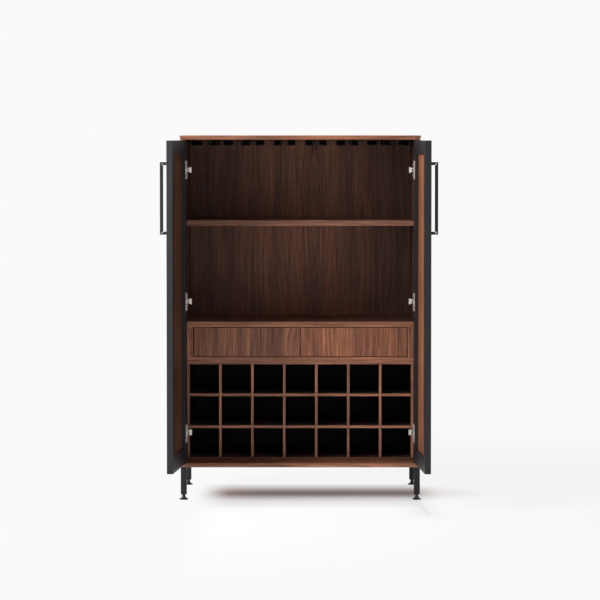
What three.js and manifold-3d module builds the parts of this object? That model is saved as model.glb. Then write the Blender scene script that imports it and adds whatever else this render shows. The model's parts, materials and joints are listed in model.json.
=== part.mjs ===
// Bar armoire: a walnut case on four steel legs, with two framed doors, a rack of channels for
// hanging glasses, a shelf, two drawers and a rack of square cells for lying bottles.
// The doors stand open, as in use. Lengths are in millimetres.
// X runs from left to right, Y from front to back and Z up from the floor.

import * as THREE from "three";
import { mergeVertices } from "three/addons/utils/BufferGeometryUtils.js";
import Module from "manifold-3d";

const wasm = await Module();
wasm.setup();

// Case
const caseWidth = 810;
const caseDepth = 505;
const interiorHeight = 1090;
const panelThickness = 14;
const edgeBevelHeight = 7;
const edgeBevelDepth = 3.5;
const sideThickness = 20;
const backThickness = 8;
const seam = 0.3;

// Legs and levelling feet
const legHeight = 92;
const legWidth = 20;
const legSideInset = 1.5;
const legEndInset = 4;
const footHeight = 18;
const footRadius = 15;
const footRim = 3;
const footNeckRadius = 5.5;
const footNeckHeight = 6;
const footStemRadius = 4;
const footStemLength = 16;
const stemClearance = 0.4;
const footFlareHeightShare = 0.35;
const footFlareRadiusShare = 0.3;

// Shelf, drawer case and their place behind the doors
const fittingsSetback = 95;
const shelfThickness = 19;
const upperCompartmentHeight = 273;
const lowerCompartmentHeight = 325;
const drawerOpeningHeight = 101.5;
const drawerCaseSide = 21;
const partitionThickness = 18;

// Drawers
const drawerFrontThickness = 18;
const drawerFrontGap = 2;
const drawerSideGap = 2.5;
const drawerMeetingGap = 2.5;
const drawerWall = 12;
const drawerBottom = 8;
const drawerBoxHeight = 80;
const drawerBoxDepth = 360;
const drawerRunClearance = 0.5;
const drawerGuideClearance = 1;

// Bottle rack
const rackColumns = 7;
const rackRows = 3;
const rackBoard = 9;
const rackFloorThickness = 11;
const rackTopThickness = 6;

// Channels for hanging glasses
const channelWidth = 88;
const channelHeight = 20;
const channelSlot = 31;
const channelWall = 2;
const channelTurn = 5;
const channelTurnRun = 3;
const channelLength = 398;

// Doors
const doorThickness = 20;
const doorRearGap = 4.5;
const doorSideInset = 1;
const doorEndGap = 2;
const doorMeetingGap = 3;
const doorFrameWidth = 46;
const doorPanelThickness = 6;
const doorPanelSetback = 2.5;
const doorGrooveDepth = 5;
const doorGrooveClearance = 0.3;
const leftDoorAngle = 94.7;
const rightDoorAngle = 93.4;
const pivotInset = 9.5;
const pivotDepth = 8;

// Handles
const handleLength = 236;
const handleProjection = 23.5;
const handleBar = 10;
const handleTopDrop = 70;
const handleSlit = 2;
const handleSlitShare = 0.62;

// Concealed hinges: the cup side on the door
const hingeEndInset = 100;
const cupRadius = 17.5;
const cupDepth = 15.4;
const cupWall = 1.2;
const cupInset = 20.5;
const cupBoreClearance = 0.3;
const flangeLength = 62;
const flangeWidth = 18;
const flangeThickness = 1.2;
const flangeRim = 0.8;
const earThickness = 2;
const earHeight = 4.5;
const earReach = 4;
const knuckleGap = 0.4;

// Concealed hinges: the arm side on the case
const armLength = 64;
const armHeight = 14;
const armRise = 13;
const armTailRise = 11;
const armFoot = 3;
const armNeckRise = 5;
const armNoseRise = 19;
const armNoseDepth = 5.5;
const armNoseHeight = 19;
const armNoseGap = 2.8;
const armShoulder = 11;
const armHeelShare = 0.2;
const armCrownShare = 0.55;
const neckThickness = 3.6;
const neckHeight = 8;
const neckReach = 15.8;
const neckTaper = 1.1;
const pinRadius = 1.4;
const wingLength = 48;
const wingWidth = 18;
const wingThickness = 3.6;
const wingSetback = 37;

// Fineness of round shapes
const roundSteps = 24;
const pinSteps = 10;
const cutOverrun = 2;

// Places that follow from the sizes above
const halfWidth = caseWidth / 2;
const halfInterior = halfWidth - sideThickness;
const standHeight = footHeight + legHeight;
const floorTop = standHeight + panelThickness;
const ceiling = floorTop + interiorHeight;
const backFace = caseDepth - backThickness;
const sideFront = doorThickness + doorRearGap;
const upperShelfTop = ceiling - upperCompartmentHeight;
const drawerDeckTop = upperShelfTop - shelfThickness - lowerCompartmentHeight;
const drawerOpeningTop = drawerDeckTop - shelfThickness;
const drawerOpeningBottom = drawerOpeningTop - drawerOpeningHeight;
const rackCeiling = drawerOpeningBottom - shelfThickness - rackTopThickness;
const rackFloorTop = floorTop + rackFloorThickness;
const cellHeight = (rackCeiling - rackFloorTop - (rackRows - 1) * rackBoard) / rackRows;
const rackWidth = 2 * halfInterior - seam;
const cellWidth = (rackWidth - (rackColumns + 1) * rackBoard) / rackColumns;
const cellPitch = cellWidth + rackBoard;
const doorWidth = halfWidth - doorSideInset - doorMeetingGap / 2;
const doorHeight = interiorHeight - 2 * doorEndGap;
const doorInnerFace = doorThickness - pivotDepth;
const hingeHeights = [doorHeight - hingeEndInset, doorHeight / 2, hingeEndInset];
const hingeNames = ["top", "middle", "bottom"];

// The open doors reach forward of the case, so the middle of the depth lies in front of its middle.
function doorReach(angle) {
  const turn = THREE.MathUtils.degToRad(angle);
  return (doorWidth - pivotInset) * Math.sin(turn) - doorInnerFace * Math.cos(turn) - pivotDepth;
}
const frontReach = Math.max(doorReach(leftDoorAngle), doorReach(rightDoorAngle));
const frontPlane = (frontReach - caseDepth) / 2;

// Finishes
const walnut = new THREE.MeshStandardMaterial({ color: 0x6b4534, roughness: 0.5 });
const blackPaint = new THREE.MeshStandardMaterial({ color: 0x232427, roughness: 0.45, metalness: 0.2 });
const blackSteel = new THREE.MeshStandardMaterial({ color: 0x1c1c1f, roughness: 0.5, metalness: 0.5 });
const blackPlastic = new THREE.MeshStandardMaterial({ color: 0x141416, roughness: 0.6 });
const nickel = new THREE.MeshStandardMaterial({ color: 0xb8b2a8, roughness: 0.3, metalness: 0.9 });

// Joining and cutting of closed shapes
function toSolid(geometry) {
  const bare = geometry.clone();
  bare.deleteAttribute("normal");
  bare.deleteAttribute("uv");
  const merged = mergeVertices(bare);
  const vertProperties = new Float32Array(merged.attributes.position.array);
  const triVerts = new Uint32Array(merged.index.array);
  return new wasm.Manifold(new wasm.Mesh({ numProp: 3, vertProperties, triVerts }));
}

function toGeometry(solid) {
  const mesh = solid.getMesh();
  const geometry = new THREE.BufferGeometry();
  geometry.setAttribute("position", new THREE.BufferAttribute(mesh.vertProperties, 3));
  geometry.setIndex(new THREE.BufferAttribute(mesh.triVerts, 1));
  const flat = geometry.toNonIndexed();
  flat.computeVertexNormals();
  return flat;
}

function join(...geometries) {
  return toGeometry(geometries.map(toSolid).reduce((whole, next) => whole.add(next)));
}

function cut(geometry, ...tools) {
  return toGeometry(tools.map(toSolid).reduce((rest, tool) => rest.subtract(tool), toSolid(geometry)));
}

// Shapes between given limits, and outlines pushed along an axis
function blockBetween(x, y, z) {
  const block = new THREE.BoxGeometry(x[1] - x[0], y[1] - y[0], z[1] - z[0]);
  return block.translate((x[0] + x[1]) / 2, (y[0] + y[1]) / 2, (z[0] + z[1]) / 2);
}

function pushed(outline, depth) {
  const shape = outline instanceof THREE.Shape ? outline : new THREE.Shape(outline);
  return new THREE.ExtrudeGeometry(shape, { depth, bevelEnabled: false, curveSegments: roundSteps / 4 });
}

const alongX = new THREE.Matrix4().makeBasis(
  new THREE.Vector3(0, 1, 0),
  new THREE.Vector3(0, 0, 1),
  new THREE.Vector3(1, 0, 0),
);
const alongY = new THREE.Matrix4().makeBasis(
  new THREE.Vector3(-1, 0, 0),
  new THREE.Vector3(0, 0, 1),
  new THREE.Vector3(0, 1, 0),
);

function named(name, geometry, material, x = 0, y = 0, z = 0) {
  const mesh = new THREE.Mesh(geometry, material);
  mesh.name = name;
  mesh.position.set(x, y, z);
  return mesh;
}

// A board fills its place between its neighbours, less half the seam on each face.
function board(name, x, y, z, material = walnut) {
  const size = [x, y, z].map((limits) => limits[1] - limits[0] - seam);
  const middle = [x, y, z].map((limits) => (limits[0] + limits[1]) / 2);
  return named(name, new THREE.BoxGeometry(...size), material, ...middle);
}

// Top and bottom panels: the front and end edges are bevelled on the side that faces the doors.
function bevelledPanel(name, bottom, facing) {
  const geometry = new THREE.BoxGeometry(caseWidth, caseDepth, panelThickness, 1, 1, 2);
  const points = geometry.attributes.position;
  for (let i = 0; i < points.count; i += 1) {
    const level = Math.sign(points.getZ(i)) * facing;
    if (level === 0) {
      points.setZ(i, facing * (panelThickness / 2 - edgeBevelHeight));
    }
    if (level > 0) {
      points.setX(i, points.getX(i) - Math.sign(points.getX(i)) * edgeBevelDepth);
      points.setY(i, Math.max(points.getY(i), edgeBevelDepth - caseDepth / 2));
    }
  }
  return named(name, geometry, walnut, 0, caseDepth / 2, bottom + panelThickness / 2);
}

function buildCase() {
  const group = new THREE.Group();
  const height = [floorTop, ceiling];
  const depth = [sideFront, backFace];
  group.add(bevelledPanel("bottom_panel", standHeight, 1));
  group.add(bevelledPanel("top_panel", ceiling, -1));
  group.add(board("left_side_panel", [-halfWidth, -halfInterior], depth, height));
  group.add(board("right_side_panel", [halfInterior, halfWidth], depth, height));
  group.add(board("back_panel", [-halfWidth, halfWidth], [backFace, caseDepth], height));
  return group;
}

// Shelf and drawer case
function buildFittings() {
  const group = new THREE.Group();
  const width = [-halfInterior, halfInterior];
  const depth = [fittingsSetback, backFace];
  const opening = [drawerOpeningBottom, drawerOpeningTop];
  const caseInner = halfInterior - drawerCaseSide;
  const partitionFront = fittingsSetback + drawerFrontThickness + drawerGuideClearance;
  const partition = [-partitionThickness / 2, partitionThickness / 2];
  group.add(board("upper_shelf", width, depth, [upperShelfTop - shelfThickness, upperShelfTop]));
  group.add(board("drawer_case_top", width, depth, [drawerOpeningTop, drawerDeckTop]));
  const floorLimits = [drawerOpeningBottom - shelfThickness, drawerOpeningBottom];
  group.add(board("drawer_case_floor", width, depth, floorLimits));
  group.add(board("drawer_case_left_side", [-halfInterior, -caseInner], depth, opening));
  group.add(board("drawer_case_right_side", [caseInner, halfInterior], depth, opening));
  group.add(board("drawer_case_partition", partition, [partitionFront, backFace], opening));
  return group;
}

// Bottle rack: the dividers and shelves are halved into each other at mid depth.
function dividerOutline() {
  const bottom = rackFloorTop + seam / 2;
  const top = rackCeiling - seam / 2;
  const front = fittingsSetback + seam / 2;
  const rear = backFace - seam / 2;
  const middle = (fittingsSetback + backFace) / 2;
  const outline = [[front, bottom], [rear, bottom]];
  for (let row = 1; row < rackRows; row += 1) {
    const low = rackFloorTop + row * (cellHeight + rackBoard) - rackBoard;
    outline.push([rear, low], [middle, low], [middle, low + rackBoard], [rear, low + rackBoard]);
  }
  outline.push([rear, top], [front, top]);
  return outline.map(([y, z]) => new THREE.Vector2(y, z));
}

function rackShelfOutline() {
  const end = rackWidth / 2 - rackBoard - seam / 2;
  const front = fittingsSetback + seam / 2;
  const rear = backFace - seam / 2;
  const middle = (fittingsSetback + backFace) / 2;
  const outline = [[end, rear], [-end, rear], [-end, front]];
  for (let column = 1; column < rackColumns; column += 1) {
    const x = (column - rackColumns / 2) * cellPitch;
    const left = x - rackBoard / 2;
    const right = x + rackBoard / 2;
    outline.push([left, front], [left, middle], [right, middle], [right, front]);
  }
  outline.push([end, front]);
  return outline.map(([x, y]) => new THREE.Vector2(x, y));
}

function buildRack() {
  const group = new THREE.Group();
  const width = [-halfInterior, halfInterior];
  const depth = [fittingsSetback, backFace];
  const height = [rackFloorTop, rackCeiling];
  const outer = rackWidth / 2;
  const thickness = rackBoard - seam;
  group.add(board("rack_floor", width, depth, [floorTop, rackFloorTop]));
  group.add(board("rack_top", width, depth, [rackCeiling, rackCeiling + rackTopThickness]));
  group.add(board("rack_left_side", [-outer, rackBoard - outer], depth, height));
  group.add(board("rack_right_side", [outer - rackBoard, outer], depth, height));
  for (let column = 1; column < rackColumns; column += 1) {
    const divider = pushed(dividerOutline(), thickness).applyMatrix4(alongX);
    const x = (column - rackColumns / 2) * cellPitch - thickness / 2;
    group.add(named(`rack_divider_${column}`, divider, walnut, x));
  }
  const shelfNames = ["rack_shelf_lower", "rack_shelf_upper"];
  for (let row = 1; row < rackRows; row += 1) {
    const z = rackFloorTop + row * (cellHeight + rackBoard) - rackBoard + seam / 2;
    const name = shelfNames[row - 1] ?? `rack_shelf_${row}`;
    group.add(named(name, pushed(rackShelfOutline(), thickness), walnut, 0, 0, z));
  }
  return group;
}

// A glass channel is a folded sheet: a top, two walls and two lips whose inner edges turn up.
// Behind each lip a stop closes the rear end, and the slot between the lips runs through.
function channelGeometry() {
  const half = channelWidth / 2;
  const slot = channelSlot / 2;
  const inner = half - channelWall;
  const side = [
    [half, 0],
    [half, -channelHeight],
    [slot + channelTurnRun, -channelHeight],
    [slot, channelTurn - channelHeight],
    [slot + channelWall, channelTurn - channelHeight],
    [slot + channelTurnRun + channelWall / 2, channelWall - channelHeight],
    [inner, channelWall - channelHeight],
    [inner, -channelWall],
  ];
  const mirrored = side.map(([x, z]) => [-x, z]).reverse();
  const outline = [...side, ...mirrored].map(([x, z]) => new THREE.Vector2(x, z));
  const channel = pushed(outline, channelLength).applyMatrix4(alongY);
  const stops = [-1, 1].map((hand) => {
    const x = [slot + channelTurnRun, half].map((limit) => hand * limit).sort((a, b) => a - b);
    return blockBetween(x, [channelLength - channelWall, channelLength], [-channelHeight, 0]);
  });
  return join(channel, ...stops);
}

function buildChannels() {
  const group = new THREE.Group();
  for (let column = 0; column < rackColumns; column += 1) {
    const x = (column - (rackColumns - 1) / 2) * cellPitch;
    const name = `glass_channel_${column + 1}`;
    group.add(named(name, channelGeometry(), blackSteel, x, fittingsSetback, ceiling - seam));
  }
  return group;
}

// Drawers: an open box behind an inset front
function buildDrawer(name, side) {
  const group = new THREE.Group();
  const caseInner = halfInterior - drawerCaseSide;
  const inner = partitionThickness / 2 + drawerGuideClearance;
  const boxWidth = caseInner - drawerGuideClearance - inner;
  const frontWidth = caseInner - drawerSideGap - drawerMeetingGap / 2;
  const frontHeight = drawerOpeningHeight - 2 * drawerFrontGap;
  const frontX = side * (drawerMeetingGap + frontWidth) / 2;
  const frontMiddle = (drawerOpeningBottom + drawerOpeningTop) / 2;
  const front = new THREE.BoxGeometry(frontWidth, drawerFrontThickness, frontHeight);
  const frontDepth = fittingsSetback + drawerFrontThickness / 2;
  group.add(named(`${name}_drawer_front`, front, walnut, frontX, frontDepth, frontMiddle));
  const outer = new THREE.BoxGeometry(boxWidth, drawerBoxDepth, drawerBoxHeight);
  const hollowWidth = boxWidth - 2 * drawerWall;
  const hollowDepth = drawerBoxDepth - 2 * drawerWall;
  const hollow = new THREE.BoxGeometry(hollowWidth, hollowDepth, drawerBoxHeight);
  const box = cut(outer, hollow.translate(0, 0, drawerBottom));
  const boxX = side * (inner + boxWidth / 2);
  const boxY = fittingsSetback + drawerFrontThickness + seam + drawerBoxDepth / 2;
  const boxZ = drawerOpeningBottom + drawerRunClearance + drawerBoxHeight / 2;
  group.add(named(`${name}_drawer_box`, box, walnut, boxX, boxY, boxZ));
  return group;
}

// Legs are square tube ends closed by a threaded plug, which takes the stem of the foot.
function legGeometry() {
  const leg = new THREE.BoxGeometry(legWidth, legWidth, legHeight - seam);
  const boreRadius = footStemRadius + stemClearance;
  const boreDepth = footStemLength + stemClearance;
  const bore = new THREE.CylinderGeometry(boreRadius, boreRadius, boreDepth + cutOverrun, roundSteps);
  bore.rotateX(Math.PI / 2);
  return cut(leg, bore.translate(0, 0, (boreDepth - cutOverrun - legHeight + seam) / 2));
}

function footGeometry() {
  const flareTop = footHeight - footNeckHeight;
  const flareRadius = footNeckRadius + (footRadius - footNeckRadius) * footFlareRadiusShare;
  const flareHeight = footRim + (flareTop - footRim) * footFlareHeightShare;
  const profile = [
    [0, 0],
    [footRadius, 0],
    [footRadius, footRim],
    [flareRadius, flareHeight],
    [footNeckRadius, flareTop],
    [footNeckRadius, footHeight - seam],
    [footStemRadius, footHeight - seam],
    [footStemRadius, footHeight + footStemLength],
    [0, footHeight + footStemLength],
  ];
  const points = profile.map(([radius, height]) => new THREE.Vector2(radius, height));
  return new THREE.LatheGeometry(points, roundSteps).rotateX(Math.PI / 2);
}

function buildLegs() {
  const group = new THREE.Group();
  const x = halfWidth - legSideInset - legWidth / 2;
  const ends = { front: legEndInset + legWidth / 2, rear: caseDepth - legEndInset - legWidth / 2 };
  for (const [end, y] of Object.entries(ends)) {
    for (const [hand, side] of [["left", -1], ["right", 1]]) {
      const middle = footHeight + (legHeight - seam) / 2;
      group.add(named(`${end}_${hand}_leg`, legGeometry(), blackSteel, side * x, y, middle));
      group.add(named(`${end}_${hand}_foot`, footGeometry(), blackPlastic, side * x, y));
    }
  }
  return group;
}

// Door frame with a groove for its panel and bores for the hinge cups.
// Its X runs from the pivot towards the meeting edge when inward is 1.
function doorFrameGeometry(inward) {
  const middleX = inward * (doorWidth / 2 - pivotInset);
  const middleY = doorThickness / 2 - pivotDepth;
  const openingWidth = doorWidth - 2 * doorFrameWidth;
  const openingHeight = doorHeight - 2 * doorFrameWidth;
  const frame = new THREE.BoxGeometry(doorWidth, doorThickness, doorHeight);
  const opening = new THREE.BoxGeometry(openingWidth, doorThickness + cutOverrun, openingHeight);
  const grooveWidth = openingWidth + 2 * doorGrooveDepth;
  const grooveHeight = openingHeight + 2 * doorGrooveDepth;
  const grooveThickness = doorPanelThickness + 2 * doorGrooveClearance;
  const groove = new THREE.BoxGeometry(grooveWidth, grooveThickness, grooveHeight);
  frame.translate(middleX, middleY, doorHeight / 2);
  opening.translate(middleX, middleY, doorHeight / 2);
  groove.translate(middleX, doorPanelSetback + doorPanelThickness / 2 - pivotDepth, doorHeight / 2);
  const boreRadius = cupRadius + cupBoreClearance;
  const boreDepth = cupDepth + cupBoreClearance;
  const bores = hingeHeights.map((height) => {
    const bore = new THREE.CylinderGeometry(boreRadius, boreRadius, boreDepth + cutOverrun, roundSteps);
    const x = inward * (cupInset - pivotInset);
    return bore.translate(x, doorInnerFace + (cutOverrun - boreDepth) / 2, height);
  });
  return cut(frame, opening, groove, ...bores);
}

// Handle: a square bar bent twice, slit at each mitre from the inner corner outwards.
function handleGeometry() {
  const inner = handleProjection - handleBar;
  const top = handleLength;
  const slitReach = handleBar * handleSlitShare;
  const half = handleSlit / Math.SQRT2 / 2;
  const lowerCorner = [
    [inner, handleBar + 2 * half],
    [inner + slitReach + half, handleBar - slitReach + half],
    [inner + slitReach - half, handleBar - slitReach - half],
    [inner - 2 * half, handleBar],
  ];
  const upperCorner = lowerCorner.map(([reach, height]) => [reach, top - height]).reverse();
  const outline = [
    [seam, 0],
    [handleProjection, 0],
    [handleProjection, top],
    [seam, top],
    [seam, top - handleBar],
    ...upperCorner,
    ...lowerCorner,
    [seam, handleBar],
  ];
  const points = outline.map(([reach, height]) => new THREE.Vector2(-reach, height));
  return pushed(points, handleBar).applyMatrix4(alongX).translate(-handleBar / 2, 0, 0);
}

// Hinge shapes are made for the left side, and turned half round for the right one.
function handed(geometry, inward) {
  return inward < 0 ? geometry.rotateY(Math.PI) : geometry;
}

// Hinge cup: a pressed cup with a long flange, and two ears that hold the arm's pin.
// The origin is the middle of the cup's mouth, on the door's inner face.
function cupGeometry() {
  const top = seam + flangeThickness;
  const endRadius = flangeWidth / 2;
  const straight = flangeLength / 2 - endRadius;
  const outline = new THREE.Shape();
  outline.absarc(0, straight, endRadius, 0, Math.PI);
  outline.absarc(0, -straight, endRadius, Math.PI, 2 * Math.PI);
  const flange = pushed(outline, flangeThickness).rotateX(-Math.PI / 2).translate(0, seam, 0);
  const rimRadius = cupRadius + flangeRim;
  const rim = new THREE.CylinderGeometry(rimRadius, rimRadius, flangeThickness, roundSteps);
  rim.translate(0, seam + flangeThickness / 2, 0);
  const body = new THREE.CylinderGeometry(cupRadius, cupRadius, cupDepth + top, roundSteps);
  body.translate(0, (top - cupDepth) / 2, 0);
  const hollowRadius = cupRadius - cupWall;
  const hollowDepth = cupDepth - cupWall + top + cutOverrun;
  const hollow = new THREE.CylinderGeometry(hollowRadius, hollowRadius, hollowDepth, roundSteps);
  hollow.translate(0, top + cutOverrun - hollowDepth / 2, 0);
  const shell = cut(join(body, flange, rim), hollow);
  const axisX = pivotInset - cupInset;
  const earX = [cupWall - cupRadius, axisX + earReach];
  const earY = [cupWall / 2 - cupDepth, earHeight - doorInnerFace];
  const earBase = neckHeight / 2 + knuckleGap;
  const ears = [-1, 1].map((hand) => {
    const z = [hand * earBase, hand * (earBase + earThickness)].sort((a, b) => a - b);
    return blockBetween(earX, earY, z);
  });
  const holeRadius = pinRadius + knuckleGap;
  const holeLength = 2 * (earBase + earThickness + cutOverrun);
  const hole = new THREE.CylinderGeometry(holeRadius, holeRadius, holeLength, roundSteps);
  hole.rotateX(Math.PI / 2).translate(axisX, -doorInnerFace, 0);
  const drilled = ears.map((ear) => cut(ear, hole));
  return join(shell, ...drilled);
}

function buildDoor(name, side, angle) {
  const group = new THREE.Group();
  const inward = -side;
  group.position.set(side * (halfWidth - doorSideInset - pivotInset), pivotDepth, floorTop + doorEndGap);
  group.rotation.z = side * THREE.MathUtils.degToRad(angle);
  group.add(named(`${name}_door_frame`, doorFrameGeometry(inward), blackPaint));
  const panelWidth = doorWidth - 2 * (doorFrameWidth - doorGrooveDepth + doorGrooveClearance);
  const panelHeight = doorHeight - 2 * (doorFrameWidth - doorGrooveDepth + doorGrooveClearance);
  const panel = new THREE.BoxGeometry(panelWidth, doorPanelThickness, panelHeight);
  const panelX = inward * (doorWidth / 2 - pivotInset);
  const panelY = doorPanelSetback + doorPanelThickness / 2 - pivotDepth;
  group.add(named(`${name}_door_panel`, panel, walnut, panelX, panelY, doorHeight / 2));
  const handleX = inward * (doorWidth - pivotInset - doorFrameWidth / 2);
  const handleZ = doorHeight - handleTopDrop - handleLength;
  group.add(named(`${name}_door_handle`, handleGeometry(), blackSteel, handleX, -pivotDepth, handleZ));
  hingeNames.forEach((place, index) => {
    const cupX = inward * (cupInset - pivotInset);
    const cup = handed(cupGeometry(), inward);
    const z = hingeHeights[index];
    group.add(named(`${name}_hinge_${place}_cup`, cup, nickel, cupX, doorInnerFace, z));
  });
  return group;
}

// The neck reaches from the nose into the cup, and ends in a knuckle with a pin on the door's axis.
function neckOutline() {
  const radius = neckThickness / 2;
  const noseMiddle = doorThickness + armNoseGap + armNoseDepth / 2 - pivotDepth;
  const neck = new THREE.Shape();
  neck.moveTo(0, -radius);
  neck.lineTo(neckReach + neckThickness, -radius);
  neck.lineTo(neckReach + neckThickness, noseMiddle);
  neck.lineTo(neckReach, noseMiddle);
  neck.lineTo(neckReach, radius - neckTaper);
  neck.lineTo(0, radius);
  neck.absarc(0, 0, radius, Math.PI / 2, 1.5 * Math.PI);
  return neck;
}

// Hinge arm: a wing plate on the side panel and an arm that reaches forward to a broad nose.
// The origin lies on the inner face of the side panel, at the front plane of the case.
function armGeometry() {
  const front = doorThickness + armNoseGap;
  const rear = front + armLength;
  const heel = rear - armLength * armHeelShare;
  const crown = rear - armLength * armCrownShare;
  const outline = [
    [armFoot, rear],
    [armTailRise, rear],
    [armRise, heel],
    [armRise, crown],
    [armNoseRise, front + armNoseDepth],
    [armNoseRise, front],
    [armNeckRise, front],
    [armNeckRise, front + armNoseDepth],
    [armFoot, front + armShoulder],
  ];
  const points = outline.map(([rise, y]) => new THREE.Vector2(rise, y));
  const arm = pushed(points, armHeight).translate(0, 0, -armHeight / 2);
  const noseX = [armNoseRise - armNoseDepth, armNoseRise];
  const noseZ = [-armNoseHeight / 2, armNoseHeight / 2];
  const nose = blockBetween(noseX, [front, front + armNoseDepth], noseZ);
  const wingMiddle = sideFront + wingSetback;
  const wingY = [wingMiddle - wingWidth / 2, wingMiddle + wingWidth / 2];
  const wing = blockBetween([seam, wingThickness], wingY, [-wingLength / 2, wingLength / 2]);
  const axisX = doorSideInset + pivotInset - sideThickness;
  const neck = pushed(neckOutline(), neckHeight).translate(axisX, pivotDepth, -neckHeight / 2);
  const pinLength = neckHeight + 2 * knuckleGap + 2 * earThickness;
  const pin = new THREE.CylinderGeometry(pinRadius, pinRadius, pinLength, pinSteps);
  pin.rotateX(Math.PI / 2).translate(axisX, pivotDepth, 0);
  return join(arm, nose, wing, neck, pin);
}

function buildHingeArms(name, side) {
  const group = new THREE.Group();
  hingeNames.forEach((place, index) => {
    const z = floorTop + doorEndGap + hingeHeights[index];
    const arm = handed(armGeometry(), -side);
    group.add(named(`${name}_hinge_${place}_arm`, arm, nickel, side * halfInterior, 0, z));
  });
  return group;
}

const armoire = new THREE.Group();
armoire.position.y = frontPlane;
armoire.add(buildCase(), buildFittings(), buildRack(), buildChannels(), buildLegs());
armoire.add(buildDrawer("left", -1), buildDrawer("right", 1));
armoire.add(buildHingeArms("left", -1), buildHingeArms("right", 1));
armoire.add(buildDoor("left", -1, leftDoorAngle), buildDoor("right", 1, rightDoorAngle));

export default armoire;
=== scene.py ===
"""Bar armoire: veneers, lacquer and metal finishes, rounded edges, screws, light and camera.

Lengths are in metres. X runs from left to right, Y from front to back and Z up from the floor.
The doors stand open at rest, and every piece rides on the body that carries it.
"""

import json
import math

import bmesh
import bpy
from bpy.props import FloatProperty, FloatVectorProperty, PointerProperty
from mathutils import Matrix, Vector

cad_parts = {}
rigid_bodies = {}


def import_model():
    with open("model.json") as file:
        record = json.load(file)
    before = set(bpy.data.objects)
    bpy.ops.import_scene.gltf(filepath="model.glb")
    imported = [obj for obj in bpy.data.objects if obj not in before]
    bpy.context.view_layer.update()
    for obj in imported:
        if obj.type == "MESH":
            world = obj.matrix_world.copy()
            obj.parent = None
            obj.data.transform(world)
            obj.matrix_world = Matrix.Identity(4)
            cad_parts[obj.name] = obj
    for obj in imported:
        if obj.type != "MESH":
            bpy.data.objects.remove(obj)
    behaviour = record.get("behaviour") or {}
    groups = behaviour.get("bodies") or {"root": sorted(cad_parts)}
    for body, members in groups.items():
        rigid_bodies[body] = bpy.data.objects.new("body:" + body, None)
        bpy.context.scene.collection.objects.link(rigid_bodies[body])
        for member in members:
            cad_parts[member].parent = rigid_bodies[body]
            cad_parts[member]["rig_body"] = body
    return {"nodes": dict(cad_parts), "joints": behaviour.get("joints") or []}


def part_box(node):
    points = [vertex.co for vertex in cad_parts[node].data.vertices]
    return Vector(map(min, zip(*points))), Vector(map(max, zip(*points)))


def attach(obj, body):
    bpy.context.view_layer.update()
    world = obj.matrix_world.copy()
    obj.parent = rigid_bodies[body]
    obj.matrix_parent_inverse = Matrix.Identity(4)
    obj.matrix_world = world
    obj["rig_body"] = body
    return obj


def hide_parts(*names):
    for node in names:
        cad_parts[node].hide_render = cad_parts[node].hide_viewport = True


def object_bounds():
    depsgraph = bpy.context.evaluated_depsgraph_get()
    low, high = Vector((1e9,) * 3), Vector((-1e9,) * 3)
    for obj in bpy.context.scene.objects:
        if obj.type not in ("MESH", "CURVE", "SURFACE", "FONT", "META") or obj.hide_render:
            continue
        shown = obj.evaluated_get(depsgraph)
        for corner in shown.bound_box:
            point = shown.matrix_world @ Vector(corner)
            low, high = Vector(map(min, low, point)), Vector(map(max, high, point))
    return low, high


bl_info = {
    "name": "Bar Armoire",
    "version": (1, 0, 0),
    "blender": (4, 5, 0),
    "location": "View3D > Sidebar > Armoire",
    "description": "Dresses a walnut bar armoire with veneer, lacquer, metal and small fittings",
    "category": "Object",
}

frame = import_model()
cad_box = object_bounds()

SIDES = {"left": -1, "right": 1}
PLACES = ("top", "middle", "bottom")

# Faces within the flat angle are merged, edges past the sharp one rounded, past the smooth one hard
MERGE_DISTANCE = 1e-6
FLAT_ANGLE = math.radians(1)
SMOOTH_ANGLE = math.radians(20)
SHARP_ANGLE = math.radians(32)
ROUND_PROFILE = 0.5
EDGE_STEPS = 2
SMALL_EDGE_STEPS = 1
LEG_EDGE_STEPS = 4

JOINTS = {joint["name"]: joint for joint in frame["joints"]}

# How a vector is turned so that the grain of the wood runs along its Z
GRAIN_TURNS = {"X": (0, -math.pi / 2, 0), "Z": (0, 0, 0)}

# Each group of boards is cut from its own wood, and each board in it adds its own number
SEEDS = {
    "case, level": 3.0,
    "case, upright": 11.0,
    "shelves": 21.0,
    "drawer case": 31.0,
    "drawer fronts": 41.0,
    "rack": 51.0,
    "door panels": 71.0,
}

# How far the rings of a veneer arch along the heart of its wood
FITTING_ARCH = 0.02
SIDE_ARCH = 0.05
DOOR_ARCH = 0.06

# The heart of each board's wood: across and back from the board, then its place along the grain
TOP_HEART = (0.25, 0.16, 0.0)
BOTTOM_HEART = (-0.25, 0.16, 0.0)
LEFT_SIDE_HEART = (0.0, 0.16, 0.7)
RIGHT_SIDE_HEART = (0.0, 0.3, 0.5)
BACK_HEART = (0.05, 0.0, 0.9)
SHELF_HEART = (0.3, -0.5, 0.0)
SHELF_HEART_STEP = 0.2
FITTING_HEART = (0.4, -0.5, 0.0)
DOOR_HEART = (0.0, 0.03, 1.05)

# How far the veneer of some boards is from the walnut of the rest, in red, green and blue; several of
# these are painted light and painted shade, as said at each
WHOLE = (1.0, 1.0, 1.0)
TOP_TONE = (1.03, 0.97, 0.92)
# Painted light: the bottom panel is made lighter than the rest of the walnut
BOTTOM_LIGHT_TONE = (1.22, 1.3, 1.36)
SIDE_TONE = (0.8, 0.84, 0.9)
# Painted shade: the inner faces of the side panels are made much darker
INNER_SHADE_TONE = (0.33, 0.36, 0.41)
BACK_MIDDLE_TONE = (0.92, 0.97, 1.06)
# Painted shade: the back panel darkens towards its ends
BACK_SHADE_TONE = (0.38, 0.4, 0.44)
# Painted shade: the faces of the shelves behind their front edges are made darker
FACE_SHADE_TONE = (0.52, 0.55, 0.6)
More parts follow.
